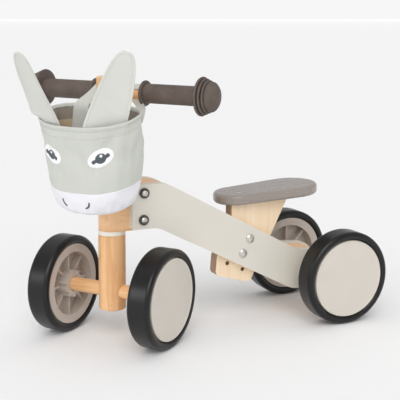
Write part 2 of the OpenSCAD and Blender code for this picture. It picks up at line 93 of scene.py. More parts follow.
class Finish:
    def __init__(self, name, rough=0.5, **sockets):
        self.mat = bpy.data.materials.new(name)
        self.mat.use_nodes = True
        self.tree = self.mat.node_tree
        self.shader = self.tree.nodes["Principled BSDF"]
        self.shader.inputs["Roughness"].default_value = rough
        for key, value in sockets.items():
            self.shader.inputs[key.replace("_", " ")].default_value = value
        self.place = self.node("ShaderNodeTexCoord")

    def node(self, kind, **props):
        made = self.tree.nodes.new(kind)
        for key, value in props.items():
            setattr(made, key, value)
        return made

    def link(self, a, b):
        self.tree.links.new(a, b)

    def coords(self, scale=(1, 1, 1), turn=(0, 0, 0), source="Object"):
        made = self.node("ShaderNodeMapping")
        made.inputs["Scale"].default_value = scale
        made.inputs["Rotation"].default_value = turn
        self.link(self.place.outputs[source], made.inputs["Vector"])
        return made.outputs["Vector"]

    def noise(self, where, scale, detail=3.0, rough=0.5, twist=0.0):
        made = self.node("ShaderNodeTexNoise")
        made.inputs["Scale"].default_value = scale
        made.inputs["Detail"].default_value = detail
        made.inputs["Roughness"].default_value = rough
        made.inputs["Distortion"].default_value = twist
        self.link(where, made.inputs["Vector"])
        return made.outputs["Fac"]

    def ramp(self, value, stops):
        made = self.node("ShaderNodeValToRGB")
        spots = made.color_ramp.elements
        while len(spots) < len(stops):
            spots.new(0.5)
        for spot, (at, colour) in zip(spots, stops):
            spot.position = at
            spot.color = (*colour, 1) if len(colour) == 3 else colour
        self.link(value, made.inputs["Fac"])
        return made.outputs["Color"]

    def grey(self, value, lo, hi, start=0.0, end=1.0):
        made = self.node("ShaderNodeMapRange")
        for key, number in (("From Min", start), ("From Max", end), ("To Min", lo), ("To Max", hi)):
            made.inputs[key].default_value = number
        self.link(value, made.inputs["Value"])
        return made.outputs["Result"]

    def mix(self, share, a, b):
        made = self.node("ShaderNodeMix", data_type="RGBA")
        for socket, value in ((0, share), (6, a), (7, b)):
            if isinstance(value, bpy.types.NodeSocket):
                self.link(value, made.inputs[socket])
            else:
                made.inputs[socket].default_value = value if socket == 0 else (*value, 1)
        return made.outputs[2]

    def math(self, operation, a, b=0.0):
        made = self.node("ShaderNodeMath", operation=operation)
        for socket, value in ((0, a), (1, b)):
            if isinstance(value, bpy.types.NodeSocket):
                self.link(value, made.inputs[socket])
            else:
                made.inputs[socket].default_value = value
        return made.outputs["Value"]

    def bump(self, height, depth, strength=1.0, under=None):
        made = self.node("ShaderNodeBump")
        made.inputs["Distance"].default_value = depth
        made.inputs["Strength"].default_value = strength
        self.link(height, made.inputs["Height"])
        if under is not None:
            self.link(under, made.inputs["Normal"])
        return made.outputs["Normal"]

    def finish(self, colour=None, normal=None, rough=None):
        for value, key in ((colour, "Base Color"), (normal, "Normal"), (rough, "Roughness")):
            if value is not None:
                self.link(value, self.shader.inputs[key])
        return self.mat


def srgb(r, g, b):
    def flat(c):
        c /= 255
        return c / 12.92 if c <= 0.04045 else ((c + 0.055) / 1.055) ** 2.4
    return flat(r), flat(g), flat(b)


def shade(colour, factor):
    return tuple(min(1.0, c * factor) for c in colour)


print("finish helpers ready")

# %% [markdown]
# ## Beech
#
# The posts, dowels, handlebar and blocks are lacquered beech. Beech is pinkish tan with a fine
# straight grain and many short dark flecks. The grain must run along each piece, so the recipe
# takes the direction in which the piece is long, and squeezes the noise along that direction until
# it turns into lines. Wide soft noise gives the bands, tight noise the pores.

# %% Beech recipe
GRAIN_TURN = {"z": (0, 0, 0), "x": (0, math.pi / 2, 0), "y": (math.pi / 2, 0, 0)}


def beech(name, along, light, dark, turn=0.0, shift=1.0):
    f = Finish(name, rough=0.42, Coat_Weight=0.12, Coat_Roughness=0.25)
    if turn:
        spun = f.coords(turn=(0, 0, -turn))
        place = f.node("ShaderNodeMapping")
        f.link(spun, place.inputs["Vector"])
        place.inputs["Rotation"].default_value = GRAIN_TURN[along]
        base = place.outputs["Vector"]
    else:
        base = f.coords(turn=GRAIN_TURN[along])
    long = f.node("ShaderNodeMapping")
    long.inputs["Scale"].default_value = (1, 1, 0.055)
    long.inputs["Location"].default_value = (shift, shift * 0.7, 0)
    f.link(base, long.inputs["Vector"])
    lines = long.outputs["Vector"]
    bands = f.noise(lines, 95, 4, 0.55, 0.4)
    fine = f.noise(lines, 620, 3, 0.6)
    fleck = f.node("ShaderNodeMapping")
    fleck.inputs["Scale"].default_value = (1, 1, 0.16)
    f.link(base, fleck.inputs["Vector"])
    pores = f.noise(fleck.outputs["Vector"], 900, 2, 0.5)
    colour = f.ramp(bands, [(0.3, dark), (0.52, light), (0.72, shade(light, 1.06))])
    colour = f.mix(f.grey(fine, 0.0, 0.35, 0.35, 0.75), colour, shade(dark, 0.93))
    colour = f.mix(f.grey(pores, 0.0, 0.6, 0.64, 0.76), colour, shade(dark, 0.62))
    height = f.math("SUBTRACT", fine, f.grey(pores, 0.0, 1.0, 0.6, 0.75))
    return f.finish(colour, f.bump(height, 0.00012, 0.5), f.grey(bands, 0.36, 0.5))


BEECH_LIGHT = srgb(247, 199, 147)
BEECH_DARK = srgb(226, 168, 114)
post_wood = beech("beech_upright", "z", BEECH_LIGHT, BEECH_DARK)
axle_wood = beech("beech_across", "x", shade(BEECH_LIGHT, 1.02), BEECH_DARK, shift=2.3)
bar_wood = beech("beech_bar", "x", BEECH_LIGHT, BEECH_DARK, TURN, 3.1)
block_wood = beech("beech_block", "y", srgb(250, 204, 156), srgb(232, 180, 132), 0, 4.4)
print("beech finishes: 4")

# %% [markdown]
# ## Birch plywood
#
# The board under the seat is plywood with a clear lacquer. Its wide faces are pale birch veneer,
# and its edges show the layers as thin light and dark lines. The recipe looks at which way the
# surface faces: across the board it paints veneer, and anywhere else it paints layers that are
# 1.5 mm thick, with darker end grain in every other one. The edge colours are darker than the
# veneer overall: partly the ply's own darker edge, and partly painted shade.

# %% Plywood recipe
LAYER_SCALE = 105
f = Finish("birch_plywood", rough=0.5, Coat_Weight=0.08, Coat_Roughness=0.3)
veneer = f.coords(scale=(1, 1, 0.08))
grain = f.noise(veneer, 150, 4, 0.55, 0.3)
face = f.ramp(grain, [(0.3, srgb(246, 218, 182)), (0.55, srgb(252, 228, 196)),
                      (0.75, srgb(254, 234, 206))])
soft = f.noise(f.coords(), 26, 2, 0.5)
face = f.mix(f.grey(soft, 0.0, 0.5, 0.45, 0.8), face, srgb(246, 216, 178))
layer = f.node("ShaderNodeTexWave", wave_type="BANDS", bands_direction="X", wave_profile="SIN")
layer.inputs["Scale"].default_value = LAYER_SCALE
layer.inputs["Distortion"].default_value = 0.3
f.link(f.coords(), layer.inputs["Vector"])
# The edge colours are partly the ply's own darker edge and partly painted shade.
edge = f.ramp(layer.outputs["Fac"], [(0.35, srgb(160, 126, 98)), (0.6, srgb(206, 174, 140))])
end_grain_and_shade = f.noise(f.coords(scale=(0.2, 1, 1)), 900, 2, 0.6)
edge = f.mix(f.grey(end_grain_and_shade, 0.0, 0.4, 0.4, 0.8), edge, srgb(132, 98, 72))
facing = f.node("ShaderNodeSeparateXYZ")
f.link(f.place.outputs["Normal"], facing.inputs["Vector"])
is_face = f.grey(f.math("ABSOLUTE", facing.outputs["X"]), 0.0, 1.0, 0.6, 0.75)
ply_mat = f.finish(f.mix(is_face, edge, face), f.bump(grain, 0.0001, 0.5), f.grey(grain, 0.42, 0.56))
print("plywood layers", round(math.pi / (20 * LAYER_SCALE * MM), 2), "mm thick")

# %% [markdown]
# ## Paint
#
# The side panels and the seat are painted plywood. Satin paint is never perfectly flat: it follows
# the grain a little, has a very fine orange peel, and its shine varies from place to place. Three
# noises at three scales give that, each of them faint, and the colour moves by only a few percent.

# %% Paint recipe


def paint(name, colour, rough, stretch, peel=0.00004, coat=0.1, ridge=0.00009, stain=0.16):
    f = Finish(name, rough=rough, Coat_Weight=coat, Coat_Roughness=0.3)
    cloud = f.noise(f.coords(), 9, 2, 0.5)
    under = f.noise(f.coords(scale=stretch), 170, 4, 0.6, 0.2)
    skin = f.noise(f.coords(), 1500, 1, 0.5)
    tone = f.ramp(cloud, [(0.3, shade(colour, 0.965)), (0.7, shade(colour, 1.02))])
    tone = f.mix(f.grey(under, 0.0, stain, 0.4, 0.8), tone, shade(colour, 0.88))
    normal = f.bump(under, ridge, 0.5)
    normal = f.bump(skin, peel, 0.4, normal)
    return f.finish(tone, normal, f.grey(under, rough - 0.05, rough + 0.07))


panel_paint = paint("panel_paint", srgb(224, 219, 207), 0.48, (1, 0.07, 1))
seat_paint = paint("seat_paint", srgb(150, 140, 133), 0.27, (1, 0.12, 1), 0.00004, 0.4,
                   ridge=0.000008, stain=0.1)
plug_paint = paint("seat_plug_paint", srgb(214, 209, 203), 0.35, (1, 0.3, 1), 0.00006, 0.2)
print("paints: 3")

# %% [markdown]
# ## Moulded plastic and rubber
#
# The rims, cover discs and washers are moulded plastic: one colour with a very fine grain, slightly
# uneven shine and faint flow marks. The tyres are dense black foam, and the grips are softer rubber
# with rows of tiny ribs for the fingers. The same recipe serves all of them. Only colour, shine and
# the size of the grain differ, and the grips get a ribbed bump on top.

# %% Moulded recipes


def moulded(name, colour, rough, grain=900.0, depth=0.00005, spread=0.04, **sockets):
    f = Finish(name, rough=rough, **sockets)
    flow = f.noise(f.coords(), 18, 3, 0.5, 0.6)
    skin = f.noise(f.coords(), grain, 2, 0.6)
    tone = f.ramp(flow, [(0.3, shade(colour, 1 - spread)), (0.7, shade(colour, 1 + spread))])
    tone = f.mix(f.grey(skin, 0.0, 0.12, 0.45, 0.8), tone, shade(colour, 0.8))
    return f.finish(tone, f.bump(skin, depth, 0.5), f.grey(flow, rough - 0.05, rough + 0.06))


rim_plastic = moulded("rim_plastic", srgb(198, 187, 177), 0.36, Coat_Weight=0.2)
disc_plastic = moulded("disc_plastic", srgb(213, 206, 196), 0.5, 1300, 0.00003, 0.02)
nylon = moulded("white_nylon", srgb(246, 240, 230), 0.4, 1200, 0.00003, 0.02)
# The caps round the front bolt heads are coloured near-black as painted shade: they stand for the
# shadow in the hole round each bolt head.
bolt_cap_shade = moulded("bolt_cap_shade", srgb(62, 58, 55), 0.4)
tyre_foam = moulded("tyre_foam", srgb(18, 17, 17), 0.3, 1600, 0.00006, 0.14, Specular_IOR_Level=0.4)

f = Finish("grip_rubber", rough=0.62)
flow = f.noise(f.coords(turn=(0, 0, -TURN)), 60, 3, 0.6)
tone = f.ramp(flow, [(0.3, srgb(86, 74, 67)), (0.7, srgb(106, 93, 85))])
rib = f.node("ShaderNodeTexWave", wave_type="BANDS", bands_direction="X", wave_profile="SIN")
rib.inputs["Scale"].default_value = 160
f.link(f.coords(turn=(0, 0, -TURN)), rib.inputs["Vector"])
grain = f.noise(f.coords(), 1100, 2, 0.6)
tone = f.mix(f.grey(grain, 0.0, 0.4, 0.45, 0.8), tone, srgb(84, 74, 68))
normal = f.bump(rib.outputs["Fac"], 0.00018, 0.45)
grip_rubber = f.finish(tone, f.bump(grain, 0.00015, 0.6, normal), f.grey(flow, 0.56, 0.7))
print("moulded finishes: 6")

# %% [markdown]
# ## Zinc-plated steel
#
# Bolts and nuts are plated steel with a soft brushed shine. Noise stretched round the head breaks
# the reflection the way the turning marks do.

# %% Steel recipe
f = Finish("zinc_steel", rough=0.34, Metallic=1.0)
turned = f.noise(f.coords(scale=(0.15, 1, 1)), 1400, 3, 0.6)
tone = f.ramp(turned, [(0.3, srgb(190, 186, 180)), (0.7, srgb(235, 231, 225))])
steel = f.finish(tone, f.bump(turned, 0.00005, 0.4), f.grey(turned, 0.28, 0.44))
print("steel ready")

# %% [markdown]
# ## Give the CAD pieces their finishes
#
# A CAD piece keeps its mesh and only swaps its material. The list below goes by the piece's name.
# The sawn and painted boards also get a small bevel, because sandpaper always breaks an edge and
# paint rounds it further. A bevel needs joined corners, so a weld goes before it.

# %% Dress the CAD pieces
DRESS = {
    "side_panel": panel_paint, "head_block": block_wood, "rear_block": block_wood,
    "seat_board": ply_mat, "seat_screws": plug_paint, "seat_spacers": nylon, "seat_bolts": steel,
    "seat_nuts": steel, "front_bolt_caps": bolt_cap_shade, "front_bolts": steel, "front_nuts": steel,
    "rear_bolts": steel, "rear_nuts": steel, "rear_axle_screw": steel, "rear_axle": axle_wood,
    "axle_bolt": steel, "steering_bush": nylon, "post_": post_wood, "steering_spindle": steel,
    "spindle_pins": bar_wood, "handlebar_screws": steel, "handlebar": bar_wood,
    "grip_": grip_rubber, "front_axle_screw": steel, "front_axle": bar_wood, "tyre_": tyre_foam,
    "wheel_core": rim_plastic, "wheel_cover": disc_plastic, "wheel_bush": nylon, "seat": seat_paint,
}


def dress(obj, material):
    obj.data.materials.clear()
    obj.data.materials.append(material)


for name, obj in nodes.items():
    for start, material in DRESS.items():
        if name.startswith(start):
            dress(obj, material)
            break
for name in ("side_panel_left", "side_panel_right", "seat_board"):
    weld = nodes[name].modifiers.new("weld", "WELD")
    weld.merge_threshold = 0.01 * MM
    soften = nodes[name].modifiers.new("soften", "BEVEL")
    soften.width = 0.9 * MM
    soften.segments = 2
    soften.limit_method = "ANGLE"
    soften.angle_limit = math.radians(50)
    soften.harden_normals = True
print("dressed:", sum(1 for o in nodes.values() if o.data.materials))

# %% [markdown]
# ## Cloth
#
# The basket is woven cotton. A weave is two sets of threads that pass over and under each other,
# so the recipe multiplies two waves, one along each direction of the cloth, and uses the result as
# a height. The cloth pieces carry a UV map in metres of real cloth, so the threads follow the
# cloth round corners. Slubs, the thicker stretches of a thread, come from noise squeezed along
# each thread's direction, and a little sheen gives the soft edge that cotton has.

# %% Cloth recipe
THREAD = 0.55 * MM


def cloth(name, colour, slub=0.05, rough=0.88, sheen=0.25):
    f = Finish(name, rough=rough, Sheen_Weight=sheen, Sheen_Roughness=0.5)
    f.shader.inputs["Specular IOR Level"].default_value = 0.25
    uv = f.coords(source="UV")
    waves = []
    for direction in ("X", "Y"):
        wave = f.node("ShaderNodeTexWave", wave_type="BANDS", bands_direction=direction)
        wave.wave_profile = "SIN"
        wave.inputs["Scale"].default_value = 2 * math.pi / THREAD / 20
        wave.inputs["Distortion"].default_value = 0.6
        wave.inputs["Detail Scale"].default_value = 2.0
        f.link(uv, wave.inputs["Vector"])
        waves.append(wave.outputs["Fac"])
    weave = f.math("MULTIPLY", waves[0], waves[1])
    warp = f.noise(f.coords(scale=(1, 0.05, 1), source="UV"), 700, 3, 0.6)
    weft = f.noise(f.coords(scale=(0.05, 1, 1), source="UV"), 700, 3, 0.6)
    cloud = f.noise(f.coords(), 22, 3, 0.5)
    tone = f.ramp(cloud, [(0.3, shade(colour, 0.97)), (0.7, shade(colour, 1.02))])
    tone = f.mix(f.grey(warp, 0.0, slub * 4, 0.5, 0.8), tone, shade(colour, 0.86))
    tone = f.mix(f.grey(weft, 0.0, slub * 4, 0.5, 0.8), tone, shade(colour, 1.1))
    tone = f.mix(f.grey(weave, 0.14, 0.0, 0.0, 0.5), tone, shade(colour, 0.8))
    normal = f.bump(weave, 0.00016, 0.45)
    normal = f.bump(f.math("ADD", warp, weft), 0.0002, 0.4, normal)
    return f.finish(tone, normal, f.grey(cloud, rough - 0.05, min(1.0, rough + 0.06)))


# The basket and the ears are one grey cotton. The basket's copy is a little darker than the ears' copy,
# and that difference is painted shade.
grey_cotton_shaded = cloth("grey_cotton_shaded", srgb(207, 209, 202))
ear_cotton_lit = cloth("ear_cotton_lit", srgb(219, 220, 213))
white_cotton = cloth("white_cotton", srgb(241, 241, 246), 0.03)
tan_lining = cloth("tan_lining", srgb(196, 176, 146), 0.06)
brown_lining = cloth("brown_facing", srgb(148, 138, 127), 0.05)
patch_felt = cloth("white_patch", srgb(250, 250, 252), 0.02, 0.95)
dark_thread = cloth("dark_thread", srgb(86, 94, 100), 0.08, 0.6, 0.1)
stitch_thread = cloth("stitch_thread", srgb(206, 206, 199), 0.05, 0.7, 0.1)
strap_cotton = cloth("strap_cotton", srgb(208, 209, 203), 0.06)
print("cloths: 9")

# %% [markdown]
# ## The basket's shape
#
# The basket is cut so that it bulges forwards like a muzzle and lies flat against the post behind.
# Each level is one closed curve: a rounded front half and a flatter back half. Seven drawn
# levels and a closing one are joined by a smooth curve, and the whole skin is one function of
# "how far round" and "how far down". That single function then places the lining, the hem, the
# stitches and the face, so they all fit each other. A cloth simulation isn't used: a sewn,
# lined basket holds its cut shape, and the small sags are drawn straight into the function.

# %% Skin of the basket
LEVELS = [
    (71, 49.5, 45, 28, 333, 0.31), (70, 39, 54, 17.5, 306, 0.30), (69, 33.5, 57, 12, 278, 0.29),
    (66, 31, 56, 9.5, 241, 0.27), (57.5, 30, 51, 8.5, 216, 0.24), (47, 29.5, 41.5, 8, 203, 0.2),
    (31, 29, 25, 7.5, 199.5, 0.16), (2, 29, 2, 1.5, 198.6, 0.1),
]
SEAM = 3.0
BACK = 21.5
ROUND = 264
ROWS_GREY, ROWS_WHITE = 84, 60


def curve(a, b, c, d, x):
    # a smooth curve from b to c, steered by the points before and after
    return 0.5 * (2 * b + (c - a) * x + (2 * a - 5 * b + 4 * c - d) * x * x
                  + (3 * b - a - 3 * c + d) * x ** 3)


def level_at(t):
    k = min(int(t), len(LEVELS) - 2)
    x = t - k
    a, b, c, d = (LEVELS[min(max(k + j, 0), len(LEVELS) - 1)] for j in (-1, 0, 1, 2))
    if k == 0:
        a = tuple(2 * p - q for p, q in zip(b, c))
    return [curve(*values, x) for values in zip(a, b, c, d)]


def power(x, p):
    return math.copysign(abs(x) ** p, x)


def skin(angle, t, inset=0.0):
    half, mid, front, back, top, fall = level_at(t)
    c, s = math.cos(angle), math.sin(angle)
    half -= 2.6 * max(0.0, -c) * min(1.0, t / SEAM)
    bulge = 2.3 if s > 0 else 2.9
    depth = (front if s > 0 else back) - inset
    u = max(half - inset, 0.3) * power(c, 2 / bulge)
    f = mid + max(depth, 0.2) * power(s, 2 / bulge)
    return u, f, top - (f - BACK) * fall


def sag(angle, t):
    # small slack in the cloth: soft vertical folds that die out at the rim and at the seam
    down = max(0.0, min(1.0, t / SEAM)) if t <= SEAM else max(0.0, 1 - (t - SEAM) / 3)
    hold = math.sin(math.pi * min(1.0, down)) if t <= SEAM else 0.45 * down
    fold = 1.1 * math.sin(angle * 5 + 0.7 * t) * hold
    fold += 0.9 * math.sin(angle * 9 + 1.3 + t) * hold * hold
    soft = noise.noise(Vector((3.2 * math.cos(angle), 3.2 * math.sin(angle), t * 1.1)))
    soft += 0.5 * noise.noise(Vector((6.5 * math.cos(angle), 6.5 * math.sin(angle) + 4, t * 1.6)))
    pucker = 0.0
    if t > SEAM:
        near_bottom = math.exp(-((t - 4.3) / 0.5) ** 2)
        pucker = 0.9 * near_bottom * math.sin(angle * 23 + 2 * math.sin(angle * 3))
    return fold + 2.8 * soft * (0.35 + hold) + pucker


def angle_at(i, count=ROUND):
    # the first point is at the front in the middle, and they go round towards the rider's left;
    # points are drawn together a little at the two sides, where the curve is tightest
    x = 2 * math.pi * i / count
    return math.pi / 2 - (x - 0.18 * math.sin(2 * x))


def skin_row(t, inset=0.0, slack=1.0, count=ROUND):
    ring = []
    for i in range(count):
        angle = angle_at(i, count)
        u, f, z = skin(angle, t, inset - 2.6 * math.exp(-t / 0.9) + 0.4 - slack * sag(angle, t) * 0.8)
        ring.append(Vector((u, max(f, BACK - 1 + inset), z)))
    return ring


print("front of the rim:", [round(v, 1) for v in skin(math.pi / 2, 0)])

# %% [markdown]
# ## From rings to a mesh
#
# A tube of cloth is a stack of rings. This helper joins rings of equal count with quads, gives the
# mesh a UV map in metres, and can close the last ring. The same helper makes the outer cloth, the
# lining and the muzzle.

# %% Ring builder


def piece(name, verts, faces, material, uvs=None, smooth=True):
    mesh = bpy.data.meshes.new(name)
    mesh.from_pydata(verts, [], faces)
    mesh.validate()
    obj = bpy.data.objects.new(name, mesh)
    bpy.context.scene.collection.objects.link(obj)
    mesh.materials.append(material)
    if smooth:
        mesh.polygons.foreach_set("use_smooth", [True] * len(mesh.polygons))
    if uvs is not None:
        layer = mesh.uv_layers.new(name="cloth")
        for loop in mesh.loops:
            layer.data[loop.index].uv = uvs[loop.vertex_index]
    return obj


def to_world(points):
    return [steered(*p) for p in points]


BASKET_MIDDLE = steered(0, 50, 270)


def face_out(obj, middle=None, inwards=False):
    # turn every face the right way: away from the given point, or from the piece's own middle
    if middle is None:
        corners = obj.data.vertices
        middle = sum((v.co for v in corners), Vector()) / len(corners)
    total = sum(p.area * p.normal.dot(p.center - middle) for p in obj.data.polygons)
    if (total < 0) != inwards:
        obj.data.flip_normals()


def rings_to_mesh(rings, cap_last=False):
    count = len(rings[0])
    verts = [p for ring in rings for p in ring]
    faces = []
    for r in range(len(rings) - 1):
        for i in range(count):
            j = (i + 1) % count
            a, b = r * count + i, r * count + j
            faces.append((a, a + count, b + count, b))
    if cap_last:
        faces.append(tuple((len(rings) - 1) * count + i for i in reversed(range(count))))
    return verts, faces


def ring_uvs(rings):
    uvs, down = [], 0.0
    for r, ring in enumerate(rings):
        if r:
            down += (ring[0] - rings[r - 1][0]).length
        along = 0.0
        for i, p in enumerate(ring):
            if i:
                along += (p - ring[i - 1]).length
            uvs.append((along * MM, down * MM))
    return uvs


grey_rows = [SEAM * r / ROWS_GREY for r in range(ROWS_GREY + 1)]
white_rows = [SEAM + (len(LEVELS) - 1 - SEAM) * (r / ROWS_WHITE) ** 0.9
              for r in range(ROWS_WHITE + 1)]
outer = [skin_row(t) for t in grey_rows]
below = [skin_row(t, -0.35 if t < 4.5 else 0.0) for t in white_rows]
print("rings:", len(outer), "grey,", len(below), "white, points round:", ROUND)

# %% [markdown]
# ## The grey cloth, with its rolled hem
#
# The outer cloth is turned over at the rim and sewn down, so the rim is a soft double edge and not
# a knife edge. The rings run up the outside, over a small half circle at the rim, and a short way
# down the inside. One Solidify would give an even wall, but not this fuller rolled edge.

# %% Grey cloth
WALL = 2.2
HEM_STITCHES = (4.2, 14.0)


def outward(rings, r, i):
    count = len(rings[r])
    along = rings[r][(i + 1) % count] - rings[r][i - 1]
    down = rings[min(r + 1, len(rings) - 1)][i] - rings[max(r - 1, 0)][i]
    n = along.cross(down)
    if n.length == 0:
        return Vector((0, 0, -1))
    n.normalize()
    centre = Vector((0, 50, rings[r][i].z))
    return n if n.dot(rings[r][i] - centre) > 0 else -n


def moved(rings, amount):
    out = []
    for r, ring in enumerate(rings):
        out.append([p + outward(rings, r, i) * (amount(r, i) if callable(amount) else amount)
                    for i, p in enumerate(ring)])
    return out


def depth_below_rim(rings, r, i):
    return (rings[0][i] - rings[r][i]).length


def stitched(r, i):
    depth = depth_below_rim(outer, r, i)
    upper, lower = HEM_STITCHES
    groove = -0.5 * math.exp(-((depth - upper) / 0.9) ** 2)
    groove -= 0.5 * math.exp(-((depth - lower) / 0.8) ** 2)
    return 0.55 * math.exp(-(depth / 3.6) ** 4) + groove


outer = moved(outer, stitched)
inner = [skin_row(t, WALL) for t in grey_rows]
roll = []
for k in range(1, 8):
    turn = math.pi * k / 8
    ring = []
    for i in range(ROUND):
        a, b = inner[0][i], outer[0][i]
        middle, reach = (a + b) / 2, (b - a) / 2
        ring.append(middle + reach * -math.cos(turn) + Vector((0, 0, math.sin(turn) * 1.7)))
    roll.append(ring)
facing = [ring for ring, t in zip(inner, grey_rows) if t < 0.14]
rings = [list(r) for r in reversed(facing)] + roll + outer
verts, faces = rings_to_mesh([to_world(r) for r in rings])
basket_cloth = piece("basket_cloth", verts, faces, grey_cotton_shaded, ring_uvs(rings))
face_out(basket_cloth, BASKET_MIDDLE)
print("grey cloth faces:", len(faces))

# %% [markdown]
# ## Lining
#
# Inside, a brown facing runs round the top and a tan lining goes down to the floor of the basket.
# It is the same skin moved inwards by the thickness of the wall.

# %% Lining
lining_rows = [t for t in grey_rows if t >= 0.12]
lining_rows += white_rows[1:]
lining = [skin_row(t, WALL + 0.1, 0.8) for t in lining_rows]
for r, t in enumerate(lining_rows):
    if t > 4.4:
        for p in lining[r]:
            p.z += 2.0 * min(1.0, (t - 4.4) / 0.8)
verts, faces = rings_to_mesh([to_world(r) for r in lining], cap_last=True)
basket_lining = piece("basket_lining", verts, faces, brown_lining, ring_uvs(lining))
basket_lining.data.materials.append(tan_lining)
split = sum(1 for t in lining_rows if t < 0.72)
for polygon in basket_lining.data.polygons:
    polygon.material_index = 1 if polygon.index >= split * ROUND else 0
face_out(basket_lining, BASKET_MIDDLE, inwards=True)
print("lining rings:", len(lining), "facing rings:", split)

# %% [markdown]
# ## The white muzzle
#
# The muzzle is a second piece of cloth sewn to the grey one along a level seam, then drawn in to a
# round floor. It sits a hair outside the grey cloth at the seam, the way an overlapped seam does,
# and its lower edge is gathered, which gives the small puckers.

# %% Muzzle
def white_lift(r, i):
    depth = (below[0][i] - below[r][i]).length
    return 0.35 * math.exp(-(depth / 2.5) ** 2) - 0.25 * math.exp(-((depth - 2.6) / 0.7) ** 2)


below = moved(below, white_lift)
tuck = [[p + outward(below, 0, i) * -1.1 + Vector((0, 0, 0.2)) for i, p in enumerate(below[0])]]
edge = [[p + outward(below, 0, i) * -0.4 + Vector((0, 0, 0.45)) for i, p in enumerate(below[0])]]
rings = tuck + edge + below
verts, faces = rings_to_mesh([to_world(r) for r in rings], cap_last=True)
basket_muzzle_cloth = piece("basket_muzzle_cloth", verts, faces, white_cotton, ring_uvs(rings))
face_out(basket_muzzle_cloth, BASKET_MIDDLE)
print("muzzle faces:", len(faces))

# %% [markdown]
# ## Measuring along the cloth
#
# The face and the stitches are placed the way a sewer would: so far round from the middle of the
# front, and so far down from the rim. This helper walks the finished rings and gives the point and
# the outward direction at such a place, so whatever is sewn on follows every small fold.

# %% Cloth ruler
full = outer + below[1:]
FRONT_DOWN = [0.0]
for r in range(1, len(full)):
    FRONT_DOWN.append(FRONT_DOWN[-1] + (full[r][0] - full[r - 1][0]).length)


def arc_tables():
    tables = []
    for ring in full:
        ways = []
        for step in (1, -1):
            total, way = 0.0, [0.0]
            for i in range(1, ROUND // 2 + 1):
                total += (ring[(step * i) % ROUND] - ring[(step * (i - 1)) % ROUND]).length
                way.append(total)
            ways.append(way)
        tables.append(ways)
    return tables


ARCS = arc_tables()


def between(values, x):
    lo, hi = 0, len(values) - 1
    while hi - lo > 1:
        mid = (lo + hi) // 2
        if values[mid] <= x:
            lo = mid
        else:
            hi = mid
    span = values[hi] - values[lo]
    return lo, min(1.0, max(0.0, (x - values[lo]) / span if span else 0.0))


def on_row(r, s):
    side = 0 if s >= 0 else 1
    i, share = between(ARCS[r][side], abs(s))
    step = 1 if side == 0 else -1
    a, b = (step * i) % ROUND, (step * (i + 1)) % ROUND
    point = full[r][a].lerp(full[r][b], share)
    n = outward(full, r, a).lerp(outward(full, r, b), share)
    return point, n


def on_cloth(s, d, lift=0.0):
    r, share = between(FRONT_DOWN, d)
    p0, n0 = on_row(r, s)
    p1, n1 = on_row(min(r + 1, len(full) - 1), s)
    return p0.lerp(p1, share) + n0.lerp(n1, share).normalized() * lift


print("front height of the basket:", round(FRONT_DOWN[-1], 1), "mm of cloth; seam at",
      round(FRONT_DOWN[len(outer) - 1], 1))

# %% [markdown]
# ## Stitches
#
# A row of machine stitches is many short raised capsules with a gap between them. Each capsule is
# a tiny six-sided spindle, and a whole row is one mesh, so it stays light. The capsules are laid
# along any line of points.

# %% Stitch builder


def spindle(a, b, out, radius):
    axis = (b - a).normalized()
    side = axis.cross(out).normalized()
    verts = [a]
    for share, size in ((0.2, 0.85), (0.5, 1.0), (0.8, 0.85)):
        centre = a.lerp(b, share)
        for k in range(6):
            turn = math.pi * k / 3
            verts.append(centre + (side * math.cos(turn) + out * math.sin(turn)) * radius * size)
    verts.append(b)
    faces = [(0, 1 + (k + 1) % 6, 1 + k) for k in range(6)]
    for row in (1, 7):
        faces += [(row + k, row + (k + 1) % 6, row + 6 + (k + 1) % 6, row + 6 + k) for k in range(6)]
    faces += [(19, 13 + k, 13 + (k + 1) % 6) for k in range(6)]
    return verts, faces


def stitch_row(name, line, material, length=2.3, gap=0.9, radius=0.32, body="steering"):
    # line: list of (point, outward) in millimetres in the steered frame
    verts, faces = [], []
    along = [0.0]
    for k in range(1, len(line)):
        along.append(along[-1] + (line[k][0] - line[k - 1][0]).length)

    def at(x):
        k, share = between(along, x)
        k2 = min(k + 1, len(line) - 1)
        return line[k][0].lerp(line[k2][0], share), line[k][1].lerp(line[k2][1], share).normalized()

    x = 0.0
    while x + length < along[-1]:
        (a, n), (b, _) = at(x), at(x + length)
        new, quads = spindle(a, b, n, radius)
        faces += [tuple(v + len(verts) for v in q) for q in quads]
        verts += new
        x += length + gap
    obj = piece(name, to_world(verts), faces, material)
    face_out(obj)
    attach(obj, body)
    return obj


def line_at_depth(depth, lift):
    # a level line round the whole basket, a constant distance below the rim
    line = []
    for i in range(ROUND + 1):
        column = i % ROUND
        k = 0
        while depth_below_rim(full, k, column) < depth and k < len(full) - 2:
            k += 1
        d0, d1 = depth_below_rim(full, k - 1, column), depth_below_rim(full, k, column)
        share = (depth - d0) / (d1 - d0) if d1 > d0 else 0.0
        n = outward(full, k, column)
        line.append((full[k - 1][column].lerp(full[k][column], share) + n * lift, n))
    return line


def row_line(r, lift):
    line = []
    for i in range(ROUND + 1):
        column = i % ROUND
        n = outward(full, r, column)
        line.append((full[r][column] + n * lift, n))
    return line


sewn = [
    stitch_row("stitches_hem_upper", line_at_depth(HEM_STITCHES[0], 0.12), stitch_thread),
    stitch_row("stitches_hem_lower", line_at_depth(HEM_STITCHES[1], 0.12), stitch_thread),
    stitch_row("stitches_seam", row_line(len(outer) + 3, 0.1), patch_felt),
]
print("stitch rows:", len(sewn))

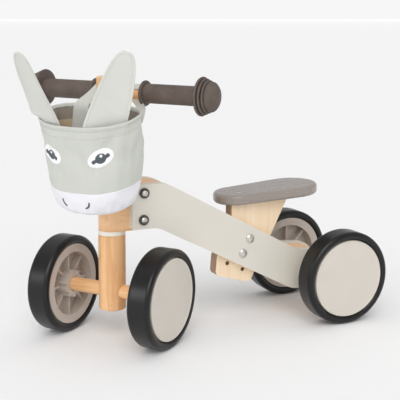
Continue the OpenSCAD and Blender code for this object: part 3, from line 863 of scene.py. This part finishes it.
# %% [markdown]
# ## The face
#
# The eyes are oval white patches with a dark pupil, a small white highlight and a short mark at
# each end. Each patch is drawn flat, as rings of points in "round" and "down" millimetres, then
# laid on the cloth with the ruler. Its edge rolls down to the cloth, so it looks sewn on and not
# printed. The right eye mirrors the left one, but it is sewn a little nearer the middle.

# %% Patches on the cloth


def tilted(centre, tilt, x, y):
    turn = math.radians(tilt)
    return (centre[0] + x * math.cos(turn) + y * math.sin(turn),
            centre[1] - x * math.sin(turn) + y * math.cos(turn))


def patch(name, centre, half_s, half_d, tilt, lift, material, side=1, rings=10, count=48):
    verts, faces = [], []

    def spot(x, y, h):
        s, d = tilted(centre, tilt, x, y)
        return on_cloth(side * s, d, h)

    verts.append(spot(0, 0, lift))
    for r in range(1, rings + 2):
        if r <= rings:
            size = math.sin(math.pi / 2 * r / rings)
            h = lift * (1 - max(0.0, size - 0.9) / 0.1 * 0.55)
        else:
            size, h = 1.015, -0.25
        for k in range(count):
            a = 2 * math.pi * k / count
            verts.append(spot(half_s * size * math.cos(a), half_d * size * math.sin(a), h))
    faces += [(0, 1 + (k + 1) % count, 1 + k) for k in range(count)]
    for r in range(rings):
        a = 1 + r * count
        faces += [(a + k, a + (k + 1) % count, a + count + (k + 1) % count, a + count + k)
                  for k in range(count)]
    uvs = [(v.x * MM, v.z * MM) for v in verts]
    obj = piece(name, to_world(verts), faces, material, uvs)
    face_out(obj, BASKET_MIDDLE)
    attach(obj, "steering")
    return obj


EYE_DOWN = 40.2
EYE_TILT = 18.0
BAR_TILT = 14.0


def border(centre, half_s, half_d, tilt, side, lift):
    line = []
    for k in range(73):
        a = 2 * math.pi * k / 72
        s, d = tilted(centre, tilt, half_s * math.cos(a), half_d * math.sin(a))
        p = on_cloth(side * s, d, lift)
        line.append((p, (on_cloth(side * s, d, lift + 1) - p).normalized()))
    return line


def eye(side, tag, across):
    centre = (across, EYE_DOWN)
    made = [
        patch(f"eye_patch_{tag}", centre, 17.8, 11.6, EYE_TILT, 0.7, patch_felt, side),
        stitch_row(f"eye_stitches_{tag}", border(centre, 16.7, 10.6, EYE_TILT, side, 0.62),
                   patch_felt, 1.5, 0.8, 0.22),
        patch(f"eye_pupil_{tag}", tilted(centre, EYE_TILT, 0, 0.4), 7.4, 6.9, 0, 1.25,
              dark_thread, side, 6, 32),
        patch(f"eye_bar_{tag}", tilted(centre, EYE_TILT, 0, 0.9), 10.6, 3.4, BAR_TILT, 1.15,
              dark_thread, side, 5, 32),
    ]
    for end, x, y in (("inner", -9.8, 0.7), ("outer", 9.8, 0.5)):
        made.append(patch(f"eye_mark_{end}_{tag}", tilted(centre, EYE_TILT, x, y), 2.8, 2.8, 0,
                          1.3, dark_thread, side, 4, 24))
    made.append(patch(f"eye_light_{tag}", tilted(centre, EYE_TILT, 1.4, -2.6), 2.1, 2.1, 0,
                      1.75, patch_felt, side, 4, 24))
    return made


face = eye(1, "left", 40.2) + eye(-1, "right", 37.6)
print("face pieces:", len(face))

# %% [markdown]
# ## Nostrils
#
# A nostril on the real basket is a short curved line of dark thread. A bent tube would stand too
# proud of the cloth, so here it is a ribbon with a rounded top, laid along an arc with the same
# ruler, and narrower at its two ends.

# %% Nostrils


def stroke(name, points, width, lift, material, side):
    verts, faces = [], []
    count = len(points)
    for k, (s, d) in enumerate(points):
        a, b = points[max(k - 1, 0)], points[min(k + 1, count - 1)]
        length = math.hypot(b[0] - a[0], b[1] - a[1])
        nx, ny = (b[1] - a[1]) / length, -(b[0] - a[0]) / length
        half = width / 2 * (0.5 + 0.5 * math.sin(math.pi * (k + 0.5) / count) ** 0.5)
        for share, h in ((-1, -0.2), (-0.8, lift * 0.8), (0, lift), (0.8, lift * 0.8), (1, -0.2)):
            verts.append(on_cloth(side * (s + nx * half * share), d + ny * half * share, h))
    for k in range(count - 1):
        for j in range(4):
            a = k * 5 + j
            faces.append((a, a + 1, a + 6, a + 5))
    faces += [tuple(range(5))[::-1], tuple((count - 1) * 5 + j for j in range(5))]
    obj = piece(name, to_world(verts), faces, material, [(v.x * MM, v.z * MM) for v in verts])
    face_out(obj, BASKET_MIDDLE)
    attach(obj, "steering")
    return obj


def nostril(s, d):
    return [(s + 8.6 * math.cos(math.radians(a)), d + 8.6 * math.sin(math.radians(a)))
            for a in range(-6, 80, 6)]


for side, tag, s, d in ((1, "left", 10.4, 99.5), (-1, "right", 14.2, 98.0)):
    face.append(stroke(f"nostril_{tag}", nostril(s, d), 2.7, 0.6, dark_thread, side))
print("nostrils sewn:", sum(1 for o in face if o.name.startswith("nostril")))

# %% [markdown]
# ## Ears
#
# Each ear is two layers of the same grey cotton as the basket, coloured a little paler than the
# basket's: that difference is painted light and shade. The layers are sewn together round the edge
# and turned inside out, so it is thin and flat with a slightly puffed middle and a crisp edge. The
# outline is one leaf shape, broad at the rim and blunt at the tip. The left ear stands nearly
# upright and the right one falls forwards, as soft cloth does. Below the rim the ear bends back so
# that its root goes down inside the basket.

# %% Ears
EAR_LONG, EAR_WIDE, EAR_ROOT = 111.0, 54.0, 10.0
EAR_SEAM = 4.0
RIM_MIDDLE, ROOT_FADE = 46, 9
# each ear: side, where its root is, then how far it turns outwards, tips forwards and leans out
EARS = {
    "left": (1, (37.8, 78.5, 303.3), 35.0, 9.0, 16.5),
    "right": (-1, (44.2, 81.2, 307.3), 17.5, 27.0, -4.0),
}
EAR_ROWS, EAR_COLS = 56, 30


def ear_half(y):
    share = min(1.0, max(0.0, y / EAR_LONG))
    return EAR_WIDE / 2 * max(0.0, 1 - share ** 1.5) ** 0.36


def ear_frame(spec):
    side, (u, f, z), turn, tilt, lean = spec
    turn, tilt, lean = (math.radians(v) for v in (turn, tilt, lean))
    look = Vector((math.sin(turn) * side, math.cos(turn), 0))
    out = Vector((math.cos(turn) * side, -math.sin(turn), 0))
    up = Vector((0, 0, 1)) * math.cos(tilt) + look * math.sin(tilt)
    face_normal = look * math.cos(tilt) - Vector((0, 0, 1)) * math.sin(tilt)
    across = out * math.cos(lean) - up * math.sin(lean)
    along = out * math.sin(lean) + up * math.cos(lean)
    return Vector((side * u, f, z)), across, along, face_normal


def ear_point(spec, x, y, h):
    # x from -1 to 1 across, y along the ear from below the rim to the tip, h out of its face
    origin, across, along, face_normal = ear_frame(spec)
    half = ear_half(y)
    cup = -2.2 * (1 - x * x) * math.sin(math.pi * min(1.0, max(0.0, y / EAR_LONG)))
    wave = 0.9 * math.sin(y / 17 + 2.2 * x) * (0.3 + 0.7 * abs(x))
    p = origin + across * (half * x) + along * y + face_normal * (cup + wave + h)
    # near the rim the root bends inwards so that it stays inside the basket wall
    return keep_inside(p)


def keep_inside(p):
    angle = math.atan2(p.y - RIM_MIDDLE, p.x)
    best = None
    for k in range(-10, 11):
        a = angle + k * 0.05
        u, f, z = skin(a, 0, 1.0)
        gap = abs(math.atan2(f - RIM_MIDDLE, u) - angle)
        if best is None or gap < best[0]:
            best = (gap, u, f, z)
    _, u, f, z = best
    reach, limit = math.hypot(p.x, p.y - RIM_MIDDLE), math.hypot(u, f - RIM_MIDDLE)
    if p.z < z + ROOT_FADE and reach > limit:
        share = min(1.0, max(0.0, (z + ROOT_FADE - p.z) / ROOT_FADE))
        share = share * share * (3 - 2 * share)
        scale = (limit + (reach - limit) * (1 - share)) / reach
        return Vector((p.x * scale, RIM_MIDDLE + (p.y - RIM_MIDDLE) * scale, p.z))
    return p


def ear(tag):
    spec = EARS[tag]
    verts, uvs, faces = [], [], []
    ys = [-EAR_ROOT + (EAR_LONG - 0.02 + EAR_ROOT) * math.sin(math.pi / 2 * r / EAR_ROWS)
          for r in range(EAR_ROWS + 1)]
    for face_side in (1, -1):
        for y in ys:
            for c in range(EAR_COLS + 1):
                x = -math.cos(math.pi * c / EAR_COLS)
                puff = 1.25 * max(0.0, 1 - x * x) ** 0.35 * min(1.0, (EAR_LONG - y) / 8) ** 0.5
                edge_dist = ear_half(y) * (1 - abs(x))
                groove = 0.45 * math.exp(-(edge_dist - EAR_SEAM) ** 2)
                verts.append(ear_point(spec, x, y, face_side * max(0.05, puff - groove)))
                uvs.append((ear_half(y) * x * MM, y * MM))
    stride = EAR_COLS + 1
    layer = stride * (EAR_ROWS + 1)
    for k in range(2):
        for r in range(EAR_ROWS):
            for c in range(EAR_COLS):
                a = k * layer + r * stride + c
                quad = (a, a + 1, a + stride + 1, a + stride)
                faces.append(quad if k else quad[::-1])
    rim = [r * stride for r in range(EAR_ROWS + 1)]
    rim += [EAR_ROWS * stride + c for c in range(1, EAR_COLS + 1)]
    rim += [r * stride + EAR_COLS for r in reversed(range(EAR_ROWS))]
    rim += reversed(range(1, EAR_COLS))
    for k, a in enumerate(rim):
        b = rim[(k + 1) % len(rim)]
        faces.append((a, b, b + layer, a + layer))
    obj = piece(f"ear_cloth_{tag}", to_world(verts), faces, ear_cotton_lit, uvs)
    face_out(obj)
    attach(obj, "steering")
    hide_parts(f"ear_{tag}")
    line = []
    for y, x in [(y, -1) for y in ys[3:]] + [(y, 1) for y in reversed(ys[3:])]:
        half = max(ear_half(y), 0.1)
        share = max(0.0, 1 - EAR_SEAM / half)
        p = ear_point(spec, x * share, min(y, EAR_LONG - EAR_SEAM), 0.95)
        n = ear_frame(spec)[3]
        if not line or (p - line[-1][0]).length > 0.6:
            line.append((p, n))
    seam = stitch_row(f"ear_stitches_{tag}", line, stitch_thread, 2.2, 0.9, 0.24)
    return obj


ears = [ear("left"), ear("right")]
print("ears:", [o.name for o in ears])

# %% [markdown]
# ## Straps
#
# Two flat straps hold the basket, one on each side of the post: each goes round the handlebar and
# down to the basket's back edge. A strap is flat webbing, so it is swept along a line of points:
# most of the way round the bar, then down to the rim and a little way inside. The left one narrows
# towards its lower end and the right one widens.

# %% Straps
BAR_Z, BAR_BACK, BAR_R = 347.0, -26.0, 10.0
STRAP_THICK = 1.6


def strap(tag, side, middles, widths):
    # middles: (u, f, z, nf, nz) points along the strap's middle with the outward direction
    verts, uvs, faces = [], [], []
    along, area = 0.0, 0.0
    lengths = [0.0]
    for a, b in zip(middles, middles[1:]):
        lengths.append(lengths[-1] + math.dist(a[:3], b[:3]))
    for k, (u, f, z, nf, nz) in enumerate(middles):
        share = lengths[k] / lengths[-1]
        width = widths[0] + (widths[1] - widths[0]) * max(0.0, share - 0.5) / 0.5
        if k:
            last = middles[k - 1]
            along += math.dist((u, f, z), last[:3])
            area += math.dist((u, f, z), last[:3]) * width * MM * MM
        for x in (-1, -0.94, -0.5, 0, 0.5, 0.94, 1, 1, 0.94, 0.5, 0, -0.5, -0.94, -1):
            top = len(verts) % 14 < 7
            edge = 0.35 if abs(x) == 1 else 1.0
            h = (STRAP_THICK / 2) * edge * (1 if top else -1)
            w = width / 2 * x
            verts.append(Vector((side * (u + w), f + nf * h, z + nz * h)))
            uvs.append((w * MM, along * MM))
    for k in range(len(middles) - 1):
        for j in range(14):
            a, b = k * 14 + j, k * 14 + (j + 1) % 14
            faces.append((a, b, b + 14, a + 14))
    faces += [tuple(range(14))[::-1], tuple((len(middles) - 1) * 14 + j for j in range(14))]
    obj = piece(f"strap_cloth_{tag}", to_world(verts), faces, strap_cotton, uvs)
    face_out(obj)
    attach(obj, "steering")
    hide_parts(f"strap_{tag}")
    return obj


def smooth_line(points, steps=6):
    out = []
    count = len(points)
    for k in range(count - 1):
        a, b, c, d = (Vector(points[min(max(k + j, 0), count - 1)]) for j in (-1, 0, 1, 2))
        out += [curve(a, b, c, d, i / steps) for i in range(steps)]
    out.append(Vector(points[-1]))
    return out


def strap_line(u0, around, path):
    # first round the bar, through the listed angles from its top, then along the given points
    r = BAR_R + 1.3
    points = []
    for deg in around:
        a = math.radians(deg)
        points.append((u0, BAR_BACK + r * math.sin(a), BAR_Z + r * math.cos(a)))
    line = smooth_line(points + path)
    out = []
    for k, p in enumerate(line):
        a, b = line[max(k - 1, 0)], line[min(k + 1, len(line) - 1)]
        t = (b - a).normalized()
        n = Vector((0, -t.z, t.y)).normalized()
        out.append((p.x, p.y, p.z, n.y, n.z))
    return out


FAR_PATH = [(29, 0, 346), (29.5, 17, 338), (29.5, 24, 334), (29.5, 27.4, 327), (29.5, 27.8, 315),
            (29.5, 28, 296)]
NEAR_PATH = [(38, -14, 331.5), (48, 0, 328.5), (55, 12, 325.5), (58.5, 20, 320), (59.5, 25.5, 314)]
straps = [strap("left", 1, strap_line(28.6, range(60, -221, -20), NEAR_PATH), (16, 11)),
          strap("right", -1, strap_line(28.6, range(-240, 31, 20), FAR_PATH), (16, 31))]
print("straps:", [o.name for o in straps])

# %% [markdown]
# ## Hang the cloth on the turning front
#
# The basket turns with the handlebar, so every cloth piece rides on the steering body. The grey
# cloth and the muzzle stand in for a CAD solid each; the lining is extra. The three flat sizes are
# round estimates, and each area is simply the area of the finished mesh, because no flat pattern
# is known. So these numbers describe the cloth, but they do not prove that it could be cut.

# %% Attach the cloth to the turning front
for obj, replaced in ((basket_cloth, ["basket_body"]), (basket_muzzle_cloth, ["basket_muzzle"])):
    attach(obj, "steering")
    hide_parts(*replaced)
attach(basket_lining, "steering")


def mesh_area(obj):
    return sum(polygon.area for polygon in obj.data.polygons)


for obj, high, on, extra in (
        (basket_cloth, 0.125, ["strap_cloth_left", "strap_cloth_right"], sewn + face),
        (basket_lining, 0.16, ["basket_cloth"], []),
        (basket_muzzle_cloth, 0.075, ["basket_cloth"], [])):
    print(obj.name, "has a mesh of", round(mesh_area(obj) * 1e4), "square centimetres")

# %% [markdown]
# ## Floor and light
#
# The stage is plain: one large pale floor with a low glowing wall far away on all four sides, and
# a bright even sky. A broad soft light comes from the rider's left and above, a low one from the
# front and a weak one from the top.

# %% Stage
scene = bpy.context.scene
scene.view_settings.view_transform = "Standard"
floor_mat = moulded("floor", srgb(254, 254, 254), 0.9, 300, 0.00002, 0.003)
size = 24.0
floor = piece("floor", [(-size, -size, 0), (size, -size, 0), (size, size, 0), (-size, size, 0)],
              [(0, 1, 2, 3)], floor_mat)
glow = Finish("backdrop", 0.9)
glow.shader.inputs["Emission Color"].default_value = (0.93, 0.93, 0.93, 1)
glow.shader.inputs["Emission Strength"].default_value = 1.0
glow.shader.inputs["Base Color"].default_value = (0, 0, 0, 1)
glow.shader.inputs["Specular IOR Level"].default_value = 0.0
corners = [(-size, -size), (size, -size), (size, size), (-size, size)]
backdrop = piece("backdrop", [(x, y, z) for z in (0, 4) for x, y in corners],
                 [(k, (k + 1) % 4, 4 + (k + 1) % 4, 4 + k) for k in range(4)], glow.mat, smooth=False)

world = bpy.data.worlds.new("studio")
scene.world = world
world.use_nodes = True
world.node_tree.nodes["Background"].inputs["Color"].default_value = (0.99, 0.99, 1.0, 1)
world.node_tree.nodes["Background"].inputs["Strength"].default_value = 0.57


def lamp(name, way, energy, spread):
    data = bpy.data.lights.new(name, "SUN")
    data.energy = energy
    data.angle = math.radians(spread)
    obj = bpy.data.objects.new(name, data)
    scene.collection.objects.link(obj)
    obj.rotation_euler = (-Vector(way)).to_track_quat("-Z", "Y").to_euler()
    return obj


lamp("key", (1.6, -0.8, 1.6), 1.2, 40)
lamp("front", (0.1, -1.0, 0.3), 0.4, 24)
lamp("top", (-0.4, 0.2, 2.0), 0.2, 80)

# %% [markdown]
# ## Camera
#
# The camera looks down a little from the front left. Its long lens keeps the wheels nearly round
# and the near ones from looking much larger than the far ones.

# %% Camera
AZ, EL, ROLL = (math.radians(v) for v in (62.82, 11.74, 0.52))
PLACE = Vector((1.2127, -0.6115, 0.4680))
back = Vector((math.sin(AZ) * math.cos(EL), -math.cos(AZ) * math.cos(EL), math.sin(EL)))
right = Vector((math.cos(AZ), math.sin(AZ), 0))
up = back.cross(right)
right, up = (right * math.cos(ROLL) + up * math.sin(ROLL), up * math.cos(ROLL) - right * math.sin(ROLL))
lens = bpy.data.cameras.new("camera")
lens.sensor_width = 36
lens.lens = 85.4
camera = bpy.data.objects.new("camera", lens)
scene.collection.objects.link(camera)
camera.matrix_world = Matrix.Translation(PLACE) @ Matrix((right, up, back)).transposed().to_4x4()
scene.camera = camera
print("camera", [round(v, 3) for v in PLACE], "lens", lens.lens)
